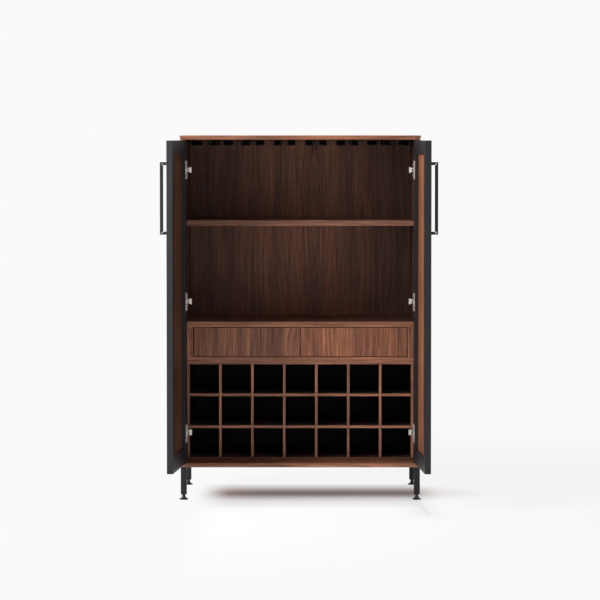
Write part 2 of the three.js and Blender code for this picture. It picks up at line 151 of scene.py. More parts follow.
# Painted shade: the faces of the rack's boards inside the cells are made darker
RACK_SHADE_TONE = (0.27, 0.34, 0.43)
RACK_LIPPING_TONE = (1.1, 1.17, 1.25)
# Painted shade: near black on the drawer case's boards and on the drawer fronts' edges and backs, in the
# gaps
DEEP_SHADE_TONE = (0.1, 0.1, 0.11)
DOOR_TONE = (0.86, 0.86, 0.86)
# Painted shade on the left door's inner face and painted light on the right door's
DOOR_INNER_LIGHT_AND_SHADE = {"left": (0.33, 0.32, 0.32), "right": (0.98, 0.89, 0.76)}

# Painted shade: how far to each side of the middle the back panel starts and ends to darken
BACK_MIDDLE = 0.06
BACK_END = 0.36

# The lipping is the strip of solid wood that covers the front edge of a veneered board
LIPPING = 0.0015
LIPPING_JOINT = 0.0004
# Painted shade: the partition's front edge is near black as the gap between the drawers, and the rack
# floor's edge is made darker
LIPPING_TONES = {
    "upper_shelf": (0.8, 0.86, 0.92),
    "drawer_case_top": (1.06, 1.12, 1.15),
    "drawer_case_floor": (1.06, 1.1, 1.12),
    "drawer_case_partition": (0.12, 0.12, 0.13),
    "rack_floor": (0.5, 0.53, 0.57),
}

# Figure and tones of the drawer fronts, with distances from the heart of each one's wood; the tones are
# painted shade on the left front and painted light on the right one
FRONT_LIGHT_AND_SHADE = {"left": (0.85, 0.87, 0.9), "right": (1.1, 1.06, 1.0)}
FRONT_HEARTS = {"left": 0.035, "right": -0.2}
FRONT_HEART_SHARE = 0.32
FRONT_VENEERS = {
    "left": {
        "arch": 0.12,
        "Curl": 2.4,
        "Curl reach": 0.13,
        "Gold place": 0.29,
        "Gold width": 0.001,
        "Band place": 0.112,
        "Band width": 0.012,
    },
    "right": {"arch": 0.06, "Band place": 0.435, "Band width": 0.012},
}

# Fine grain, roughness and specular level of the coats, and how deep and strong their relief is
LACQUER_GRAIN = 700.0
POWDER_GRAIN = 1100.0
PLASTIC_GRAIN = 1600.0
FOIL_GRAIN = 500.0
COAT_ROUGHNESS = 0.42
FOIL_ROUGHNESS = 0.6
NICKEL_ROUGHNESS = 0.42
COAT_SHEEN = 0.3
PLASTIC_SHEEN = 0.5
VENEER_RELIEF = (0.0002, 0.35)
COAT_RELIEF = (0.0002, 0.3)
PLATE_RELIEF = (0.00005, 0.25)


# Sizes and colours that a user would change


def number(name, description, default, **limits):
    return FloatProperty(name=name, description=description, default=default, **limits)


def length(name, description, default):
    return number(name, description, default, subtype="DISTANCE", unit="LENGTH", min=0)


def share(name, description, default):
    return number(name, description, default, subtype="FACTOR", min=0, max=1)


def angle(name, description, degrees):
    return number(name, description, math.radians(degrees), unit="ROTATION")


def several(name, description, default, **limits):
    size = len(default)
    return FloatVectorProperty(name=name, description=description, default=default, size=size, **limits)


def colour(name, description, default):
    return several(name, description, default, subtype="COLOR", min=0, max=1)


class WalnutSettings(bpy.types.PropertyGroup):
    light: colour("Light wood", "Colour of the wide pale bands", (0.5, 0.215, 0.122))
    dark: colour("Dark wood", "Colour of the dark growth bands", (0.3, 0.132, 0.086))
    streak: colour("Streaks", "Colour of the golden streaks", (0.62, 0.29, 0.155))
    lining: colour("Drawer lining", "Colour of the foil inside the drawers", (0.09, 0.045, 0.03))
    rack_lining: colour("Rack lining", "Colour of the sheets behind the cells", (0.11, 0.1, 0.095))
    edge: length("Edge rounding", "Radius of the rounded edges of the boards", 0.0006)
    sheen: share("Sheen level", "Specular level of the oiled veneer", 0.25)


class LacquerSettings(bpy.types.PropertyGroup):
    tone: colour("Black lacquer", "Colour of the lacquered door frames", (0.021, 0.0195, 0.023))
    edge: length("Edge rounding", "Radius of the frames' rounded edges", 0.0011)
    sheen: share("Sheen level", "Specular level of the lacquer", 0.33)


class SteelSettings(bpy.types.PropertyGroup):
    tone: colour("Powder coat", "Colour of the legs, handles and channels", (0.0168, 0.0152, 0.019))
    leg_edge: length("Leg corner", "Radius of the tube's corners", 0.0022)
    bar_edge: length("Handle edge", "Radius of the handle bar's edges", 0.0007)
    sheet_edge: length("Sheet edge", "Radius of the channels' folds", 0.0006)
    plastic: colour("Plastic", "Colour of the levelling feet", (0.012, 0.012, 0.014))


class HingeSettings(bpy.types.PropertyGroup):
    nickel: colour("Nickel", "Colour of the plated hinges", (0.8, 0.75, 0.7))
    edge: length("Edge rounding", "Radius of the hinges' pressed edges", 0.0003)
    screw_spread: length("Screw spread", "Distance between a flange's two screws", 0.048)
    screw_radius: length("Screw radius", "Radius of the screws' heads", 0.0036)


class StageSettings(bpy.types.PropertyGroup):
    floor: colour("Floor", "Colour of the floor", (0.88, 0.88, 0.88))
    backdrop: share("Backdrop", "How bright the background shows", 0.955)
    ambient: share("Ambient light", "Strength of the light from all round", 0.012)
    near_shadow: share("Shadow near the armoire", "How much of its shadow the floor shows there", 0.88)
    far_shadow: share("Shadow far from it", "How much of its shadow the floor shows there", 0.22)
    shadow_reach: length("Shadow reach", "Where the shadow has faded to its far share", 0.3)
    shadow_front: length("Core of the shadow", "From the case's front back to the darkest line", 0.21)
    shadow_left: length("Bright side", "From the left end of the case to where the shadow starts", 0.03)
    shadow_rise: length("Shadow rise", "From there to where it is full", 0.14)
    clear_from: length("Clear floor", "How far from the case the floor starts to lose all shade", 0.8)
    clear_by: length("End of the shade", "How far from the case the floor has lost it", 3.0)
    key_power: number("Key light", "Power of the main light in watts", 43.0, min=0)
    top_power: number("Top light", "Strength of the light from above", 2.47, min=0)


class ArmoireSettings(bpy.types.PropertyGroup):
    walnut: PointerProperty(type=WalnutSettings)
    lacquer: PointerProperty(type=LacquerSettings)
    steel: PointerProperty(type=SteelSettings)
    hinge: PointerProperty(type=HingeSettings)
    stage: PointerProperty(type=StageSettings)


def settings():
    return bpy.context.scene.bar_armoire


# Building blocks for node trees


def add(tree, kind, links=None, **values):
    """Adds a shader node, sets its options, and links or fills its inputs."""
    node = tree.nodes.new("ShaderNode" + kind)
    for key, value in values.items():
        setattr(node, key, value)
    for socket, value in (links or {}).items():
        if isinstance(value, bpy.types.NodeSocket):
            tree.links.new(value, node.inputs[socket])
        else:
            node.inputs[socket].default_value = value
    return node


def maths(tree, operation, first, second=0.0):
    return add(tree, "Math", {0: first, 1: second}, operation=operation).outputs[0]


def vector_maths(tree, operation, first, second=(0, 0, 0)):
    node = add(tree, "VectorMath", {0: first, 1: second}, operation=operation)
    return node.outputs["Value" if operation in ("LENGTH", "DOT_PRODUCT") else "Vector"]


def scaled(tree, value, factor, start):
    """A value times a factor, added to a start."""
    return maths(tree, "ADD", maths(tree, "MULTIPLY", value, factor), start)


def swung(tree, value, reach):
    """A noise from 0 to 1 turned into one that swings round zero."""
    return maths(tree, "MULTIPLY", maths(tree, "SUBTRACT", value, 0.5), reach)


def grey(tree, value):
    return add(tree, "CombineXYZ", {0: value, 1: value, 2: value}).outputs[0]


def multiplied(tree, first, second):
    """One colour times another."""
    return blend_colours(tree, 1.0, first, second, "MULTIPLY")


def blend_colours(tree, factor, first, second, blend_type="MIX"):
    node = add(tree, "Mix", {0: factor, 6: first, 7: second}, data_type="RGBA", blend_type=blend_type)
    return node.outputs[2]


def ramp(tree, value, low, high, to_low=0.0, to_high=1.0):
    links = {"Value": value, "From Min": low, "From Max": high, "To Min": to_low, "To Max": to_high}
    return add(tree, "MapRange", links, interpolation_type="SMOOTHSTEP").outputs[0]


def noise(tree, vector, seed, scale, detail=2.0, roughness=0.5):
    links = {"Vector": vector, "W": seed, "Scale": scale, "Detail": detail, "Roughness": roughness}
    return add(tree, "TexNoise", links, noise_dimensions="4D").outputs[0]


def node_group(name, inputs, outputs):
    """A shader node group with named sockets, and its input and output nodes."""
    group = bpy.data.node_groups.new(name, "ShaderNodeTree")
    for label, kind, default in inputs:
        socket = group.interface.new_socket(label, in_out="INPUT", socket_type="NodeSocket" + kind)
        if default is not None:
            socket.default_value = default
    for label, kind in outputs:
        group.interface.new_socket(label, in_out="OUTPUT", socket_type="NodeSocket" + kind)
    return group, group.nodes.new("NodeGroupInput").outputs, group.nodes.new("NodeGroupOutput").inputs


# Node groups shared by the materials

GROUP_OUTPUTS = [("Color", "Color"), ("Roughness", "Float"), ("Height", "Float")]

# The grain's slow wander and its ripples: their scale, reach and stretch along the wood
WANDER_SCALE = 4.0
WANDER_REACH = 0.05
WANDER_STRETCH = (1, 1, 0.3)
RIPPLE_SCALE = 26.0
RIPPLE_REACH = 0.006
RIPPLE_STRETCH = (1, 1, 0.16)
WAVE_DETAIL = 1.0
CURL_START_SHARE = 0.4

# Scale of the wood's marks, how much they vary along it, and their detail
BROAD_BANDS = (26.0, 0.05, 2.0)
STREAKS = (110.0, 0.03, 2.0)
LINES = (300.0, 0.02, 2.0)
FIBRES = (700.0, 0.03, 2.0)
PORES = (1300.0, 0.05, 1.0)
FINE_ROUGHNESS = 0.6
MARK_EDGE = 0.006

# Between which values of their noise the light bands, the golden streaks and the pores set in
LIGHT_RANGE = (0.34, 0.64)
GOLD_RANGE = (0.54, 0.7)
PORE_RANGE = (0.58, 0.66)

# How much each of them changes the wood's colour, roughness and relief
GOLD_SHARE = 0.5
STREAK_SWING = 1.0
LINE_SWING = 2.3
FIBRE_SWING = 0.8
PORE_DARKENING = -0.45
VENEER_ROUGHNESS = 0.38
FIBRE_ROUGHNESS = 0.16
PORE_ROUGHNESS = 0.15
LINE_RELIEF = 0.6


def walnut_group():
    """Walnut veneer. Growth rings lie round a heart line along Z, and Arch draws them into arches."""
    known = bpy.data.node_groups.get("Walnut veneer")
    if known:
        return known
    inputs = [
        ("Vector", "Vector", None),
        ("Heart", "Vector", (0.3, 0.3, 0.0)),
        ("Arch", "Float", 0.0),
        ("Curl", "Float", 0.0),
        ("Curl reach", "Float", 0.1),
        ("Seed", "Float", 0.0),
        ("Light", "Color", (0.3, 0.13, 0.07, 1)),
        ("Dark", "Color", (0.12, 0.055, 0.04, 1)),
        ("Streak", "Color", (0.42, 0.2, 0.1, 1)),
        ("Tone", "Color", (1, 1, 1, 1)),
        ("Contrast", "Float", 1.0),
        ("Gold place", "Float", -1.0),
        ("Gold width", "Float", 0.004),
        ("Band place", "Float", -1.0),
        ("Band width", "Float", 0.015),
    ]
    tree, given, result = node_group("Walnut veneer", inputs, GROUP_OUTPUTS)
    seed = given["Seed"]
    parts = add(tree, "SeparateXYZ", {0: given["Vector"]}).outputs
    along = parts["Z"]
    # Slow wander and small ripples bend the grain
    slow = vector_maths(tree, "MULTIPLY", given["Vector"], WANDER_STRETCH)
    wander = noise(tree, slow, seed, WANDER_SCALE, WAVE_DETAIL)
    quick = vector_maths(tree, "MULTIPLY", given["Vector"], RIPPLE_STRETCH)
    ripple = noise(tree, quick, seed, RIPPLE_SCALE, WAVE_DETAIL)
    squeeze = add(tree, "CombineXYZ", {0: 1.0, 1: 1.0, 2: given["Arch"]}).outputs[0]
    away = vector_maths(tree, "SUBTRACT", given["Vector"], given["Heart"])
    reach = vector_maths(tree, "LENGTH", vector_maths(tree, "MULTIPLY", away, squeeze))
    bend = swung(tree, wander, WANDER_REACH)
    sway = swung(tree, ripple, RIPPLE_REACH)
    ring = maths(tree, "ADD", maths(tree, "ADD", reach, bend), sway)
    # Near the heart the rings also curl round it, further away they run straight
    height = add(tree, "SeparateXYZ", {0: away}).outputs["Z"]
    rise = maths(tree, "MULTIPLY", height, height)
    curl_start = maths(tree, "MULTIPLY", given["Curl reach"], CURL_START_SHARE)
    near = ramp(tree, reach, curl_start, given["Curl reach"], 1.0, 0.0)
    curl = maths(tree, "MULTIPLY", rise, maths(tree, "MULTIPLY", given["Curl"], near))
    ring = maths(tree, "ADD", ring, curl)

    def rings(scale, stretch, detail):
        place = add(tree, "CombineXYZ", {0: ring, 2: maths(tree, "MULTIPLY", along, stretch)}).outputs[0]
        return noise(tree, place, seed, scale, detail, FINE_ROUGHNESS)

    def fibres(scale, stretch, detail):
        flat = {0: parts["X"], 1: parts["Y"], 2: maths(tree, "MULTIPLY", along, stretch)}
        return noise(tree, add(tree, "CombineXYZ", flat).outputs[0], seed, scale, detail, FINE_ROUGHNESS)

    def mark(place, width):
        """1 on a growth band at a given distance from the heart, fading out at its edges."""
        gap = maths(tree, "ABSOLUTE", maths(tree, "SUBTRACT", ring, place))
        return ramp(tree, gap, width, maths(tree, "ADD", width, MARK_EDGE), 1.0, 0.0)

    broad, streak, line = (rings(*kind) for kind in (BROAD_BANDS, STREAKS, LINES))
    fibre = fibres(*FIBRES)
    pore = ramp(tree, fibres(*PORES), *PORE_RANGE)
    base = blend_colours(tree, ramp(tree, broad, *LIGHT_RANGE), given["Dark"], given["Light"])
    banded = blend_colours(tree, mark(given["Band place"], given["Band width"]), base, given["Dark"])
    gold_share = maths(tree, "MULTIPLY", given["Contrast"], GOLD_SHARE)
    gold = maths(tree, "MULTIPLY", ramp(tree, streak, *GOLD_RANGE), gold_share)
    gold = maths(tree, "MAXIMUM", gold, mark(given["Gold place"], given["Gold width"]))
    streaked = blend_colours(tree, gold, banded, given["Streak"])
    # Streaks, lines and fibres lighten and darken the wood round its own colour
    swing = swung(tree, streak, STREAK_SWING)
    swing = maths(tree, "ADD", swing, swung(tree, line, LINE_SWING))
    swing = maths(tree, "ADD", swing, swung(tree, fibre, FIBRE_SWING))
    level = scaled(tree, pore, PORE_DARKENING, scaled(tree, swing, given["Contrast"], 1.0))
    toned = multiplied(tree, streaked, given["Tone"])
    tree.links.new(multiplied(tree, toned, grey(tree, level)), result["Color"])
    rough = scaled(tree, fibre, FIBRE_ROUGHNESS, VENEER_ROUGHNESS)
    tree.links.new(scaled(tree, pore, PORE_ROUGHNESS, rough), result["Roughness"])
    ridges = maths(tree, "MULTIPLY", line, LINE_RELIEF)
    tree.links.new(maths(tree, "SUBTRACT", ridges, pore), result["Height"])
    return tree


# Seed, scale and detail of the clouds in a coat and in a plating, and of the brush lines
COAT_CLOUDS = (2.0, 9.0, 3.0)
PLATE_CLOUDS = (4.0, 70.0, 3.0)
BRUSH_LINES = (1.0, 1800.0, 2.0)
BRUSH_STRETCH = (1, 1, 0.06)
PEEL_SEED = 0.0

# Factor and start of the tone that each gives, and how much roughness it adds
COAT_CLOUD_TONE = (0.35, 0.82)
COAT_CLOUD_ROUGHNESS = 0.12
PEEL_TONE = (0.3, 0.85)
PEEL_ROUGHNESS = 0.05
PLATE_CLOUD_TONE = (0.3, 0.84)
PLATE_CLOUD_ROUGHNESS = 0.16
BRUSH_ROUGHNESS = 0.08


def coating_group():
    """Sprayed coat: a fine orange peel, and a tone and gloss that vary a little over the surface."""
    known = bpy.data.node_groups.get("Sprayed coat")
    if known:
        return known
    inputs = [
        ("Vector", "Vector", None),
        ("Tone", "Color", (0.02, 0.02, 0.02, 1)),
        ("Grain", "Float", 900.0),
        ("Base roughness", "Float", 0.4),
    ]
    tree, given, result = node_group("Sprayed coat", inputs, GROUP_OUTPUTS)
    peel = noise(tree, given["Vector"], PEEL_SEED, given["Grain"], roughness=FINE_ROUGHNESS)
    cloud = noise(tree, given["Vector"], *COAT_CLOUDS, FINE_ROUGHNESS)
    level = maths(tree, "MULTIPLY", scaled(tree, cloud, *COAT_CLOUD_TONE), scaled(tree, peel, *PEEL_TONE))
    tree.links.new(multiplied(tree, given["Tone"], grey(tree, level)), result["Color"])
    rough = scaled(tree, cloud, COAT_CLOUD_ROUGHNESS, given["Base roughness"])
    tree.links.new(scaled(tree, peel, PEEL_ROUGHNESS, rough), result["Roughness"])
    tree.links.new(peel, result["Height"])
    return tree


def brushed_group():
    """Plated metal with faint brush lines and a mottled gloss."""
    known = bpy.data.node_groups.get("Brushed plate")
    if known:
        return known
    inputs = [
        ("Vector", "Vector", None),
        ("Tone", "Color", (0.6, 0.6, 0.6, 1)),
        ("Base roughness", "Float", 0.25),
    ]
    tree, given, result = node_group("Brushed plate", inputs, GROUP_OUTPUTS)
    stretched = vector_maths(tree, "MULTIPLY", given["Vector"], BRUSH_STRETCH)
    brush = noise(tree, stretched, *BRUSH_LINES, FINE_ROUGHNESS)
    cloud = noise(tree, given["Vector"], *PLATE_CLOUDS, FINE_ROUGHNESS)
    level = scaled(tree, cloud, *PLATE_CLOUD_TONE)
    tree.links.new(multiplied(tree, given["Tone"], grey(tree, level)), result["Color"])
    rough = scaled(tree, cloud, PLATE_CLOUD_ROUGHNESS, given["Base roughness"])
    tree.links.new(scaled(tree, brush, BRUSH_ROUGHNESS, rough), result["Roughness"])
    tree.links.new(brush, result["Height"])
    return tree


# Materials


def new_material(name):
    material = bpy.data.materials.new(name)
    material.use_nodes = True
    return material, material.node_tree, material.node_tree.nodes["Principled BSDF"]


def connect(tree, shader, group, relief):
    """Links a group's colour, roughness and height to the shader."""
    tree.links.new(group.outputs["Color"], shader.inputs["Base Color"])
    tree.links.new(group.outputs["Roughness"], shader.inputs["Roughness"])
    depth, strength = relief
    bump = add(tree, "Bump", {"Height": group.outputs["Height"], "Distance": depth, "Strength": strength})
    tree.links.new(bump.outputs[0], shader.inputs["Normal"])


def walnut(name, grain, heart, arch, seed, tone=WHOLE, change=None, **marks):
    """Oiled walnut veneer, with the heart given for the grain along Z. A change leads to another tone."""
    known = bpy.data.materials.get(name)
    if known:
        return known
    looks = settings().walnut
    material, tree, shader = new_material(name)
    place = add(tree, "TexCoord").outputs["Object"]
    turned = add(tree, "Mapping", {"Vector": place, "Rotation": GRAIN_TURNS[grain]}).outputs[0]
    group = add(tree, "Group", node_tree=walnut_group())
    tree.links.new(turned, group.inputs["Vector"])
    given = {"Heart": heart, "Arch": arch, "Seed": seed, "Tone": (*tone, 1), **marks}
    for label, value in (("Light", looks.light), ("Dark", looks.dark), ("Streak", looks.streak)):
        given[label] = (*value, 1)
    for label, value in given.items():
        group.inputs[label].default_value = value
    if change:
        along = vector_maths(tree, "DOT_PRODUCT", place, change["direction"])
        if change["both_ways"]:
            along = maths(tree, "ABSOLUTE", along)
        past = ramp(tree, along, change["start"], change["end"])
        tree.links.new(blend_colours(tree, past, (*tone, 1), (*change["tone"], 1)), group.inputs["Tone"])
    connect(tree, shader, group, VENEER_RELIEF)
    shader.inputs["Specular IOR Level"].default_value = looks.sheen
    return material


def change_to(tone, start, end, direction, both_ways=False):
    """A veneer's change to another tone, between two places along a direction."""
    return {"tone": tone, "start": start, "end": end, "direction": direction, "both_ways": both_ways}


def lipped(node, behind=FACE_SHADE_TONE):
    """Tones of a board whose front edge is covered by a strip of lighter wood, and whose faces behind it
    take a painted shade.
    """
    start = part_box(node)[0].y + LIPPING
    usual = RACK_LIPPING_TONE if node.startswith("rack_") else WHOLE
    change = change_to(behind, start, start + LIPPING_JOINT, (0, 1, 0))
    return {"tone": LIPPING_TONES.get(node, usual), "change": change}


def heart_near(place, grain, heart):
    """The heart line of a board's wood in the turned vector, given from a place on the board."""
    across, back, along = heart
    return ((-place.z if grain == "X" else place.x) + across, place.y + back, along)


def group_material(name, group_tree, relief, given, levels):
    """A material that is made once from a node group, with its values and the shader's levels."""
    known = bpy.data.materials.get(name)
    if known:
        return known
    material, tree, shader = new_material(name)
    place = add(tree, "TexCoord").outputs["Object"]
    group = add(tree, "Group", {"Vector": place, **given}, node_tree=group_tree)
    connect(tree, shader, group, relief)
    for label, level in levels.items():
        shader.inputs[label].default_value = level
    return material


def coated(name, tone, grain, roughness, sheen):
    given = {"Tone": (*tone, 1), "Grain": grain, "Base roughness": roughness}
    return group_material(name, coating_group(), COAT_RELIEF, given, {"Specular IOR Level": sheen})


def black_lacquer():
    looks = settings().lacquer
    return coated("Black lacquer", looks.tone, LACQUER_GRAIN, COAT_ROUGHNESS, looks.sheen)


def powder_coat():
    return coated("Black powder coat", settings().steel.tone, POWDER_GRAIN, COAT_ROUGHNESS, COAT_SHEEN)


def black_plastic():
    return coated("Black plastic", settings().steel.plastic, PLASTIC_GRAIN, COAT_ROUGHNESS, PLASTIC_SHEEN)


def drawer_foil():
    return coated("Drawer lining", settings().walnut.lining, FOIL_GRAIN, FOIL_ROUGHNESS, COAT_SHEEN)


def rack_foil():
    return coated("Rack lining", settings().walnut.rack_lining, FOIL_GRAIN, FOIL_ROUGHNESS, COAT_SHEEN)


def nickel():
    given = {"Tone": (*settings().hinge.nickel, 1), "Base roughness": NICKEL_ROUGHNESS}
    return group_material("Nickel plate", brushed_group(), PLATE_RELIEF, given, {"Metallic": 1.0})


# Making pieces


def finish_mesh(shape, name, material):
    """Turns a bmesh into an object at the origin, smooth except at its sharp edges."""
    mesh = bpy.data.meshes.new(name)
    shape.to_mesh(mesh)
    shape.free()
    mesh.materials.append(material)
    mesh.shade_smooth()
    mesh.set_sharp_from_angle(angle=SMOOTH_ANGLE)
    piece = bpy.data.objects.new(name, mesh)
    bpy.context.scene.collection.objects.link(piece)
    return piece


def merged_copy(node):
    """The solid's mesh with its loose triangles merged and its flat faces made whole."""
    shape = bmesh.new()
    shape.from_mesh(frame["nodes"][node].data)
    bmesh.ops.remove_doubles(shape, verts=shape.verts, dist=MERGE_DISTANCE)
    bmesh.ops.dissolve_limit(shape, angle_limit=FLAT_ANGLE, verts=shape.verts, edges=shape.edges)
    return shape


def round_edges(shape, radius, steps=EDGE_STEPS):
    """Bevels the sharp edges of a closed shape."""
    edges = [
        edge
        for edge in shape.edges
        if len(edge.link_faces) == 2 and edge.calc_face_angle(0) > SHARP_ANGLE
    ]
    bmesh.ops.bevel(
        shape,
        geom=edges,
        offset=radius,
        offset_type="OFFSET",
        segments=steps,
        profile=ROUND_PROFILE,
        affect="EDGES",
        clamp_overlap=True,
        material=-1,
    )


def stand_in(piece, node):
    """The piece rides with the node's body and stands for the node, which is hidden."""
    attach(piece, frame["nodes"][node]["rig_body"])
    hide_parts(node)


def dress(node, material, radius, steps=EDGE_STEPS):
    """Adds a copy of a solid with rounded edges and its real finish."""
    shape = merged_copy(node)
    round_edges(shape, radius, steps)
    stand_in(finish_mesh(shape, node + "_finished", material), node)


def middle(node):
    low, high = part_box(node)
    return (low + high) / 2


def move(shape, matrix):
    bmesh.ops.transform(shape, matrix=matrix, verts=shape.verts)


def joined(shapes):
    """One bmesh from several."""
    whole = bmesh.new()
    for shape in shapes:
        mesh = bpy.data.meshes.new("part")
        shape.to_mesh(mesh)
        shape.free()
        whole.from_mesh(mesh)
        bpy.data.meshes.remove(mesh)
    return whole


def rounded_block(size, rounding):
    """A block with rounded edges, in the middle of its own axes."""
    shape = bmesh.new()
    bmesh.ops.create_cube(shape, size=1)
    bmesh.ops.scale(shape, verts=shape.verts, vec=size)
    round_edges(shape, rounding)
    return shape


# Shares of a screw head's radius: its height, the radius of its top, and the radius on the arms
SCREW_SIDES = 24
HEAD_HEIGHT_SHARE = 0.3
HEAD_TAPER_SHARE = 0.8
ARM_SCREW_SHARE = 0.9

# The cross recess: its width and length to the radius, its depth to the height, its floor to its mouth
RECESS_WIDTH_SHARE = 0.28
RECESS_LENGTH_SHARE = 1.1
RECESS_DEPTH_SHARE = 0.7
RECESS_TAPER_SHARE = 0.85

# How far up a face's normal points when it belongs to the top of a head
UPWARD = 0.9

# How far the first screw is turned in, and how much further each next one, in degrees
FIRST_SCREW_TURN = 17
NEXT_SCREW_TURN = 31


def screw_head(radius, height):
    """A low round head on the XY plane, facing up. Its top's own faces still cover the cross recess."""
    shape = bmesh.new()
    bmesh.ops.create_cone(
        shape,
        cap_ends=True,
        segments=SCREW_SIDES,
        radius1=radius,
        radius2=radius * HEAD_TAPER_SHARE,
        depth=height,
    )
    bmesh.ops.translate(shape, verts=shape.verts, vec=(0, 0, height / 2))
    half_width = radius * RECESS_WIDTH_SHARE / 2
    half_length = radius * RECESS_LENGTH_SHARE / 2
    for direction in (Vector((1, 0, 0)), Vector((0, 1, 0))):
        for place in (-half_length, -half_width, half_width, half_length):
            top = [face for face in shape.faces if face.normal.z > UPWARD]
            around = {edge for face in top for edge in face.edges}
            corners = {vert for face in top for vert in face.verts}
            bmesh.ops.bisect_plane(
                shape,
                geom=[*top, *around, *corners],
                dist=MERGE_DISTANCE,
                plane_co=direction * place,
                plane_no=direction,
            )
            shape.normal_update()

    def in_cross(face):
        if face.normal.z < UPWARD:
            return False
        centre = face.calc_center_median()
        across, long_way = sorted((abs(centre.x), abs(centre.y)))
        return across < half_width and long_way < half_length

    cross = [face for face in shape.faces if in_cross(face)]
    sunk = bmesh.ops.extrude_face_region(shape, geom=cross)
    floor_verts = [item for item in sunk["geom"] if isinstance(item, bmesh.types.BMVert)]
    bmesh.ops.translate(shape, verts=floor_verts, vec=(0, 0, -height * RECESS_DEPTH_SHARE))
    taper = (RECESS_TAPER_SHARE, RECESS_TAPER_SHARE, 1)
    bmesh.ops.scale(shape, verts=floor_verts, vec=taper)
    return shape


def screws(name, body, material, places, radius, height):
    """Adds screw heads at the given places, each a point and the direction it faces, as one piece."""
    heads = []
    for index, (point, facing) in enumerate(places):
        head = screw_head(radius, height)
        turn = Matrix.Rotation(math.radians(FIRST_SCREW_TURN + NEXT_SCREW_TURN * index), 4, "Z")
        aim = Vector(facing).to_track_quat("Z", "Y").to_matrix().to_4x4()
        move(head, Matrix.Translation(point) @ aim @ turn)
        heads.append(head)
    piece = finish_mesh(joined(heads), name, material)
    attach(piece, body)


def door_matrix(side):
    """From a door's own frame, with its pivot at the origin and the door closed, to where it stands."""
    joint = JOINTS[f"{side}_door_hinge"]
    pivot = Vector(joint["pos_m"])
    opening = math.radians(-joint["range_deg"][0])
    turn = Matrix.Rotation(SIDES[side] * opening, 4, "Z")
    return Matrix.Translation((pivot.x, pivot.y, 0)) @ turn


# Operators, one for each piece or group of like pieces


class ArmoireOperator:
    bl_options = {"REGISTER", "UNDO"}


class ARMOIRE_OT_case(ArmoireOperator, bpy.types.Operator):
    """Dress the case: top, bottom, sides and back"""

    bl_idname = "armoire.case"
    bl_label = "Case"

    def execute(self, context):
        edge = settings().walnut.edge
        left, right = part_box("left_side_panel"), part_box("right_side_panel")
        # The hearts of the top and the bottom lie towards the back, on the side that faces inside
        level = {
            "top_panel": (TOP_HEART, TOP_TONE),
            # The bottom panel's lighter tone is painted light
            "bottom_panel": (BOTTOM_HEART, BOTTOM_LIGHT_TONE),
        }
        for index, (node, (heart, tone)) in enumerate(level.items()):
            heart = heart_near(middle(node), "X", heart)
            seed = SEEDS["case, level"] + index
            dress(node, walnut(f"Walnut {node}", "X", heart, FITTING_ARCH, seed, tone), edge)
        # Painted shade: the veneers of the sides are darker on their inner faces, and the back's darkens
        # towards its ends
        across = (1, 0, 0)
        left_inner_shade = change_to(INNER_SHADE_TONE, left[1].x - 2 * LIPPING, left[1].x - LIPPING, across)
        right_change = change_to(SIDE_TONE, right[0].x + LIPPING, right[0].x + 2 * LIPPING, across)
        back_shade = change_to(BACK_SHADE_TONE, BACK_MIDDLE, BACK_END, across, both_ways=True)
        right_corner = Vector((right[1].x, right[0].y, 0))
        upright = {
            "left_side_panel": (left[0], LEFT_SIDE_HEART, SIDE_TONE, left_inner_shade),
            "right_side_panel": (right_corner, RIGHT_SIDE_HEART, INNER_SHADE_TONE, right_change),
            "back_panel": (middle("back_panel"), BACK_HEART, BACK_MIDDLE_TONE, back_shade),
        }
        for index, (node, (place, heart, tone, change)) in enumerate(upright.items()):
            heart = heart_near(place, "Z", heart)
            seed = SEEDS["case, upright"] + index
            dress(node, walnut(f"Walnut {node}", "Z", heart, SIDE_ARCH, seed, tone, change), edge)
        return {"FINISHED"}


class ARMOIRE_OT_shelves(ArmoireOperator, bpy.types.Operator):
    """Dress the shelf and the boards of the drawer case"""

    bl_idname = "armoire.shelves"
    bl_label = "Shelf and drawer case"

    def execute(self, context):
        edge = settings().walnut.edge
        level = ("upper_shelf", "drawer_case_top", "drawer_case_floor")
        for index, node in enumerate(level):
            across, back, along = SHELF_HEART
            heart = heart_near(middle(node), "X", (across, back, along + SHELF_HEART_STEP * index))
            seed = SEEDS["shelves"] + index
            dress(node, walnut(f"Walnut {node}", "X", heart, FITTING_ARCH, seed, **lipped(node)), edge)
        for index, hand in enumerate(("left_side", "right_side", "partition")):
            node = f"drawer_case_{hand}"
            heart = heart_near(middle(node), "Z", FITTING_HEART)
            seed = SEEDS["drawer case"] + index
            # Painted shade: the boards are near black behind their front edges
            tones = lipped(node, DEEP_SHADE_TONE)
            dress(node, walnut(f"Walnut {node}", "Z", heart, FITTING_ARCH, seed, **tones), edge)
        return {"FINISHED"}


class ARMOIRE_OT_drawers(ArmoireOperator, bpy.types.Operator):
    """Dress the drawer fronts and boxes"""

    bl_idname = "armoire.drawers"
    bl_label = "Drawers"

    def execute(self, context):
        edge = settings().walnut.edge
        for side in SIDES:
            front = f"{side}_drawer_front"
            low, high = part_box(front)
            # The left front's heart lies past its right end, and the right front's past its left end
            end = high.x if side == "left" else low.x
            heart = (end + FRONT_HEARTS[side], low.y, low.z + FRONT_HEART_SHARE * (high.z - low.z))
            # The front's tone is painted shade on the left and painted light on the right, and its edges
            # and back take painted shade
            looks = {**lipped(front, DEEP_SHADE_TONE), **FRONT_VENEERS[side], "tone": FRONT_LIGHT_AND_SHADE[side]}
            seed = SEEDS["drawer fronts"] + SIDES[side]
            dress(front, walnut(f"Walnut {front}", "Z", heart, seed=seed, **looks), edge)
            dress(f"{side}_drawer_box", drawer_foil(), edge)
        return {"FINISHED"}


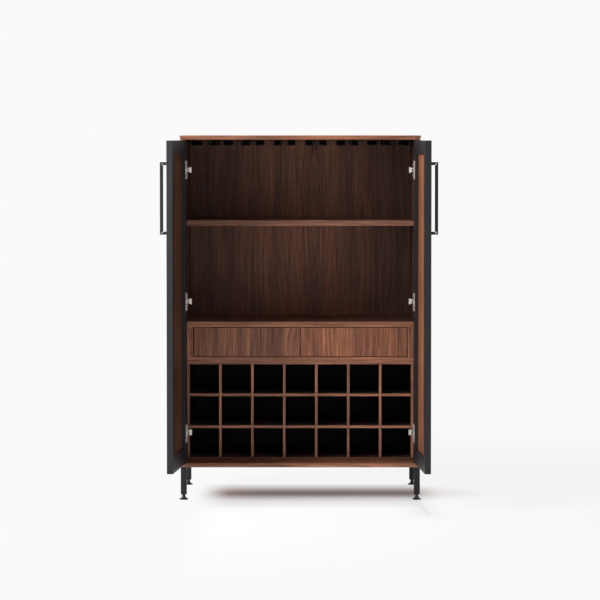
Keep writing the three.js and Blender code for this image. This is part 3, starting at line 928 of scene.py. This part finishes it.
class ARMOIRE_OT_rack(ArmoireOperator, bpy.types.Operator):
    """Dress the boards of the bottle rack and line the backs of its cells"""

    bl_idname = "armoire.rack"
    bl_label = "Bottle rack"

    lining_thickness: length("Lining thickness", "Thickness of the dark sheets behind the cells", 0.001)
    lining_gap: length("Lining gap", "From a sheet to the boards round it", 0.0002)
    lining_edge: length("Lining edge", "Radius of the sheets' edges", 0.0002)

    def execute(self, context):
        edge = settings().walnut.edge
        nodes = sorted(node for node in frame["nodes"] if node.startswith("rack_"))
        level, upright = [], []
        for index, node in enumerate(nodes):
            low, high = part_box(node)
            lies_flat = high.z - low.z < high.x - low.x
            (level if lies_flat else upright).append((low, high))
            grain = "X" if lies_flat else "Z"
            heart = heart_near((low + high) / 2, grain, FITTING_HEART)
            seed = SEEDS["rack"] + index
            # Painted shade on the boards' faces behind their front edges
            tones = lipped(node, RACK_SHADE_TONE)
            dress(node, walnut(f"Walnut {node}", grain, heart, FITTING_ARCH, seed, **tones), edge)
        level.sort(key=lambda box: box[0].z)
        upright.sort(key=lambda box: box[0].x)
        self.line_cells(level, upright)
        return {"FINISHED"}

    def line_cells(self, level, upright):
        """Puts a dark sheet at the back of every cell, between the boards' boxes, as one piece."""
        y = level[0][1].y - self.lining_thickness / 2
        sheets = []
        for left, right in zip(upright, upright[1:]):
            for under, over in zip(level, level[1:]):
                width = right[0].x - left[1].x - 2 * self.lining_gap
                height = over[0].z - under[1].z - 2 * self.lining_gap
                sheet = rounded_block((width, self.lining_thickness, height), self.lining_edge)
                x = (left[1].x + right[0].x) / 2
                move(sheet, Matrix.Translation((x, y, (under[1].z + over[0].z) / 2)))
                sheets.append(sheet)
        piece = finish_mesh(joined(sheets), "rack_lining", rack_foil())
        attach(piece, "cabinet")


class ARMOIRE_OT_channels(ArmoireOperator, bpy.types.Operator):
    """Dress the channels for hanging glasses"""

    bl_idname = "armoire.channels"
    bl_label = "Glass channels"

    def execute(self, context):
        for node in sorted(frame["nodes"]):
            if node.startswith("glass_channel"):
                dress(node, powder_coat(), settings().steel.sheet_edge)
        return {"FINISHED"}


class ARMOIRE_OT_doors(ArmoireOperator, bpy.types.Operator):
    """Dress the door frames, panels and handles"""

    bl_idname = "armoire.doors"
    bl_label = "Doors"

    def execute(self, context):
        looks = settings()
        for side, sign in SIDES.items():
            dress(f"{side}_door_frame", black_lacquer(), looks.lacquer.edge)
            panel = f"{side}_door_panel"
            across, back, along = DOOR_HEART
            heart = heart_near(middle(panel), "Z", (across, back * sign, along))
            # Each panel's inner face takes its own tone: painted shade on the left door, painted light on
            # the right one
            facing = door_matrix(side).to_3x3() @ Vector((0, 1, 0))
            inner = max(vert.co.dot(facing) for vert in frame["nodes"][panel].data.vertices)
            change = change_to(DOOR_INNER_LIGHT_AND_SHADE[side], inner - 2 * LIPPING, inner - LIPPING, facing)
            seed = SEEDS["door panels"] + sign
            veneer = walnut(f"Walnut {panel}", "Z", heart, DOOR_ARCH, seed, DOOR_TONE, change)
            dress(panel, veneer, looks.walnut.edge)
            dress(f"{side}_door_handle", powder_coat(), looks.steel.bar_edge)
        return {"FINISHED"}


PLATE_CORNER_STEPS = 5
HOLE_STEPS = 48


def flange_plate(width, height, corner, hole, thickness):
    """A pressed plate with round corners and a round hole, in the XY plane and facing up."""
    shape = bmesh.new()
    bmesh.ops.create_grid(shape, x_segments=1, y_segments=1, size=0.5)
    bmesh.ops.scale(shape, verts=shape.verts, vec=(width, height, 1))
    bmesh.ops.bevel(
        shape,
        geom=shape.verts[:],
        offset=corner,
        offset_type="OFFSET",
        segments=PLATE_CORNER_STEPS,
        profile=ROUND_PROFILE,
        affect="VERTICES",
        material=-1,
    )
    bmesh.ops.delete(shape, geom=shape.faces[:], context="FACES_ONLY")
    bmesh.ops.create_circle(shape, segments=HOLE_STEPS, radius=hole)
    bmesh.ops.triangle_fill(shape, edges=shape.edges[:], use_beauty=True, use_dissolve=False)
    bmesh.ops.solidify(shape, geom=shape.faces[:], thickness=thickness)
    bmesh.ops.recalc_face_normals(shape, faces=shape.faces)
    return shape


class ARMOIRE_OT_hinges(ArmoireOperator, bpy.types.Operator):
    """Dress the concealed hinges and add their flange plates, screws, and dark clips that stand for link
    pins and for the painted shade between the arm's links
    """

    bl_idname = "armoire.hinges"
    bl_label = "Hinges"

    plate_width: length("Plate width", "Width of the flange plate", 0.0368)
    plate_height: length("Plate height", "Height of the flange plate", 0.062)
    plate_corner: length("Plate corner", "Radius of the flange plate's corners", 0.003)
    plate_hole: length("Plate hole", "Radius of the hole in the flange plate", 0.0166)
    plate_thickness: length("Plate thickness", "Thickness of the flange plate", 0.0018)
    plate_level: length("Plate level", "From the pivot to the face of the flange plate", 0.0139)
    # Painted shade: a dark clip on each arm's neck stands for the shadow gap between its links, as well
    # as a link pin
    shade_clip_size: several("Clip size", "Size of the dark clip on the arm's neck", (0.0044, 0.004, 0.009))
    shade_clip_place: length("Clip place", "From the pivot inward to the clip", 0.0175)
    shade_clip_rounding: length("Clip rounding", "Radius of the clip's edges", 0.0005)
    cup_from_pivot: length("Cup from pivot", "From the pivot to the middle of the cup", 0.011)
    arm_screws_y: several("Arm screws", "From the pivot back to the arm's screws", (0.047, 0.061))
    arm_rise: length("Arm rise", "From the side panel to the arm's crown", 0.013)
    wing_rise: length("Wing rise", "From the side panel to the wings' face", 0.0036)
    wing_reach: length("Wing reach", "From the arm's middle to a wing's screw", 0.0165)
    wing_y: length("Wing place", "From the pivot back to the wings' middle", 0.0535)

    def execute(self, context):
        for side in SIDES:
            levels = []
            for place in PLACES:
                cup = f"{side}_hinge_{place}_cup"
                levels.append(middle(cup).z)
                self.dress_cup(side, cup)
                dress(f"{side}_hinge_{place}_arm", nickel(), settings().hinge.edge, SMALL_EDGE_STEPS)
            self.add_shade_clips(side, levels)
            self.add_screws(side, levels)
        return {"FINISHED"}

    def flange_centre(self, side, level):
        """The middle of the flange plate's face, in the door's own frame."""
        return Vector((-SIDES[side] * self.cup_from_pivot, self.plate_level, level))

    def dress_cup(self, side, cup):
        """The cup side of a hinge, with a round-cornered plate over its long flange."""
        edge = settings().hinge.edge
        size = (self.plate_width, self.plate_height)
        plate = flange_plate(*size, self.plate_corner, self.plate_hole, self.plate_thickness)
        round_edges(plate, edge, SMALL_EDGE_STEPS)
        stand = Matrix.Translation(self.flange_centre(side, middle(cup).z))
        move(plate, door_matrix(side) @ stand @ Matrix.Rotation(math.pi / 2, 4, "X"))
        body = merged_copy(cup)
        round_edges(body, edge, SMALL_EDGE_STEPS)
        stand_in(finish_mesh(joined([body, plate]), cup + "_finished", nickel()), cup)

    def add_shade_clips(self, side, levels):
        """A dark clip on the neck of each arm, as one piece: a link pin, and painted shade for the gap
        between the arm's links.
        """
        pivot = Vector(JOINTS[f"{side}_door_hinge"]["pos_m"])
        neck = pivot + Vector((-SIDES[side], 0, 0)) * self.shade_clip_place
        clips = []
        for level in levels:
            clip = rounded_block(self.shade_clip_size, self.shade_clip_rounding)
            move(clip, Matrix.Translation((neck.x, neck.y, level)))
            clips.append(clip)
        piece = finish_mesh(joined(clips), f"{side}_hinge_shade_clips", black_plastic())
        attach(piece, "cabinet")

    def add_screws(self, side, levels):
        """Two screws in each flange, in each pair of wings and in each arm."""
        looks = settings().hinge
        sign = SIDES[side]
        inward = Vector((-sign, 0, 0))
        door = door_matrix(side)
        facing = door.to_3x3() @ Vector((0, 1, 0))
        flange = door @ self.flange_centre(side, 0)
        pivot = Vector(JOINTS[f"{side}_door_hinge"]["pos_m"])
        low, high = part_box(f"{side}_side_panel")
        wall = high.x if side == "left" else low.x
        flange_places, wing_places, arm_places = [], [], []
        for level in levels:
            for hand in (-1, 1):
                spot = Vector((flange.x, flange.y, level + hand * looks.screw_spread / 2))
                flange_places.append((spot, facing))
                wing_level = level + hand * self.wing_reach
                spot = Vector((wall - sign * self.wing_rise, pivot.y + self.wing_y, wing_level))
                wing_places.append((spot, inward))
            for screw_y in self.arm_screws_y:
                spot = Vector((wall - sign * self.arm_rise, pivot.y + screw_y, level))
                arm_places.append((spot, inward))
        radius = looks.screw_radius
        height = radius * HEAD_HEIGHT_SHARE
        kinds = {
            "flange": (f"{side}_door", flange_places, radius),
            "wing": ("cabinet", wing_places, radius),
            "arm": ("cabinet", arm_places, radius * ARM_SCREW_SHARE),
        }
        for kind, (body, places, head_radius) in kinds.items():
            screws(f"{side}_{kind}_screws", body, nickel(), places, head_radius, height)


class ARMOIRE_OT_legs(ArmoireOperator, bpy.types.Operator):
    """Dress the legs and the levelling feet"""

    bl_idname = "armoire.legs"
    bl_label = "Legs and feet"

    def execute(self, context):
        looks = settings().steel
        for end in ("front", "rear"):
            for hand in SIDES:
                dress(f"{end}_{hand}_leg", powder_coat(), looks.leg_edge, LEG_EDGE_STEPS)
                dress(f"{end}_{hand}_foot", black_plastic(), looks.sheet_edge)
        return {"FINISHED"}


class ARMOIRE_OT_stage(ArmoireOperator, bpy.types.Operator):
    """Add the floor, the light and the camera"""

    bl_idname = "armoire.stage"
    bl_label = "Stage"

    floor_size: length("Floor size", "Half the width of the floor", 400.0)
    camera_distance: length("Camera distance", "From the frame's origin to the camera", 11.26)
    camera_height: length("Camera height", "Height of the camera over the floor", 1.239)
    camera_side: number("Camera side", "Camera's place across", -0.001, unit="LENGTH")
    camera_pitch: angle("Camera pitch", "How far the camera looks down", 2.882)
    lens: number("Lens", "Focal length", 200.0, unit="CAMERA")
    key_azimuth: angle("Key azimuth", "From the front towards the left", 56)
    key_elevation: angle("Key elevation", "Above the horizon", 24)
    key_distance: length("Key distance", "From the middle of the armoire to the main light", 2.2)
    key_size: length("Key size", "Width and height of the main light", 1.5)
    top_tilt: angle("Top tilt", "How far the top light leans to the back", 8)
    top_spread: angle("Top spread", "Apparent size of the top light", 8)

    def execute(self, context):
        scene = context.scene
        looks = settings().stage
        self.make_floor(looks)
        self.make_world(scene, looks)
        self.make_key(scene, looks.key_power)
        self.make_sun(scene, looks.top_power)
        self.make_camera(scene)
        scene.view_settings.view_transform = "Standard"
        return {"FINISHED"}

    def seen(self, tree):
        """1 for camera, glossy and transmission rays, which show the background."""
        path = add(tree, "LightPath").outputs
        glossy = maths(tree, "MAXIMUM", path["Is Glossy Ray"], path["Is Transmission Ray"])
        return maths(tree, "MAXIMUM", path["Is Camera Ray"], glossy)

    def make_floor(self, looks):
        shape = bmesh.new()
        bmesh.ops.create_grid(shape, x_segments=2, y_segments=2, size=self.floor_size)
        material = bpy.data.materials.new("Floor")
        material.use_nodes = True
        tree = material.node_tree
        tree.nodes.remove(tree.nodes["Principled BSDF"])
        matt = add(tree, "BsdfDiffuse", {"Color": (*looks.floor, 1)})
        plain = add(tree, "Emission", {"Strength": looks.backdrop})
        # The shadow is darkest on a line under the case, fades away from it, and starts past its left end
        low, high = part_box("bottom_panel")
        place = add(tree, "TexCoord").outputs["Object"]
        core = Vector(((low.x + high.x) / 2, low.y + looks.shadow_front, 0))
        half_line = Vector(((high.x - low.x) / 2, 0, 0))
        away = vector_maths(tree, "ABSOLUTE", vector_maths(tree, "SUBTRACT", place, core))
        outside = vector_maths(tree, "MAXIMUM", vector_maths(tree, "SUBTRACT", away, half_line))
        distance = vector_maths(tree, "LENGTH", vector_maths(tree, "MULTIPLY", outside, (1, 1, 0)))
        faded = ramp(tree, distance, 0.0, looks.shadow_reach, looks.near_shadow, looks.far_shadow)
        shaded = ramp(tree, distance, looks.clear_from, looks.clear_by, 1.0, 0.0)
        faded = maths(tree, "MULTIPLY", faded, shaded)
        across = add(tree, "SeparateXYZ", {0: place}).outputs["X"]
        start = low.x + looks.shadow_left
        shown = maths(tree, "MULTIPLY", faded, ramp(tree, across, start, start + looks.shadow_rise))
        hidden = maths(tree, "MULTIPLY", self.seen(tree), maths(tree, "SUBTRACT", 1.0, shown))
        both = add(tree, "MixShader", {0: hidden, 1: matt.outputs[0], 2: plain.outputs[0]})
        tree.links.new(both.outputs[0], tree.nodes["Material Output"].inputs["Surface"])
        finish_mesh(shape, "floor", material)

    def make_world(self, scene, looks):
        world = bpy.data.worlds.new("Studio")
        world.use_nodes = True
        scene.world = world
        tree = world.node_tree
        gain = maths(tree, "MULTIPLY", self.seen(tree), looks.backdrop - looks.ambient)
        strength = maths(tree, "ADD", gain, looks.ambient)
        tree.links.new(strength, tree.nodes["Background"].inputs["Strength"])
        tree.nodes["Background"].inputs["Color"].default_value = (1, 1, 1, 1)

    def make_key(self, scene, power):
        """A square softbox in front of the armoire, which looks at its middle."""
        lamp = bpy.data.lights.new("key_light", "AREA")
        lamp.energy = power
        lamp.size = self.key_size
        box = bpy.data.objects.new("key_light", lamp)
        away = Vector((
            -math.sin(self.key_azimuth) * math.cos(self.key_elevation),
            -math.cos(self.key_azimuth) * math.cos(self.key_elevation),
            math.sin(self.key_elevation),
        ))
        box.location = (cad_box[0] + cad_box[1]) / 2 + away * self.key_distance
        box.rotation_euler = away.to_track_quat("Z", "Y").to_euler()
        box.visible_camera = False
        scene.collection.objects.link(box)

    def make_sun(self, scene, power):
        """An even light from above, a little from behind."""
        lamp = bpy.data.lights.new("top_light", "SUN")
        lamp.energy = power
        lamp.angle = self.top_spread
        sun = bpy.data.objects.new("top_light", lamp)
        overhead = Vector((0, math.sin(self.top_tilt), math.cos(self.top_tilt)))
        sun.rotation_euler = overhead.to_track_quat("Z", "Y").to_euler()
        scene.collection.objects.link(sun)

    def make_camera(self, scene):
        lens = bpy.data.cameras.new("camera")
        lens.lens = self.lens
        lens.clip_end = 2 * self.floor_size
        camera = bpy.data.objects.new("camera", lens)
        camera.location = (self.camera_side, -self.camera_distance, self.camera_height)
        camera.rotation_euler = (math.pi / 2 - self.camera_pitch, 0, 0)
        scene.collection.objects.link(camera)
        scene.camera = camera


class ARMOIRE_PT_panel(bpy.types.Panel):
    bl_idname = "ARMOIRE_PT_panel"
    bl_label = "Bar armoire"
    bl_space_type = "VIEW_3D"
    bl_region_type = "UI"
    bl_category = "Armoire"

    def draw(self, context):
        for operator in OPERATORS:
            self.layout.operator(operator.bl_idname)


SETTINGS_GROUPS = (
    WalnutSettings,
    LacquerSettings,
    SteelSettings,
    HingeSettings,
    StageSettings,
    ArmoireSettings,
)
OPERATORS = (
    ARMOIRE_OT_stage,
    ARMOIRE_OT_case,
    ARMOIRE_OT_shelves,
    ARMOIRE_OT_drawers,
    ARMOIRE_OT_rack,
    ARMOIRE_OT_channels,
    ARMOIRE_OT_doors,
    ARMOIRE_OT_hinges,
    ARMOIRE_OT_legs,
)


def register():
    for item in (*SETTINGS_GROUPS, *OPERATORS, ARMOIRE_PT_panel):
        bpy.utils.register_class(item)
    bpy.types.Scene.bar_armoire = PointerProperty(type=ArmoireSettings)


def unregister():
    del bpy.types.Scene.bar_armoire
    for item in reversed((*SETTINGS_GROUPS, *OPERATORS, ARMOIRE_PT_panel)):
        bpy.utils.unregister_class(item)


def main():
    register()
    for operator in OPERATORS:
        group, name = operator.bl_idname.split(".")
        getattr(getattr(bpy.ops, group), name)()


if __name__ == "__main__":
    main()
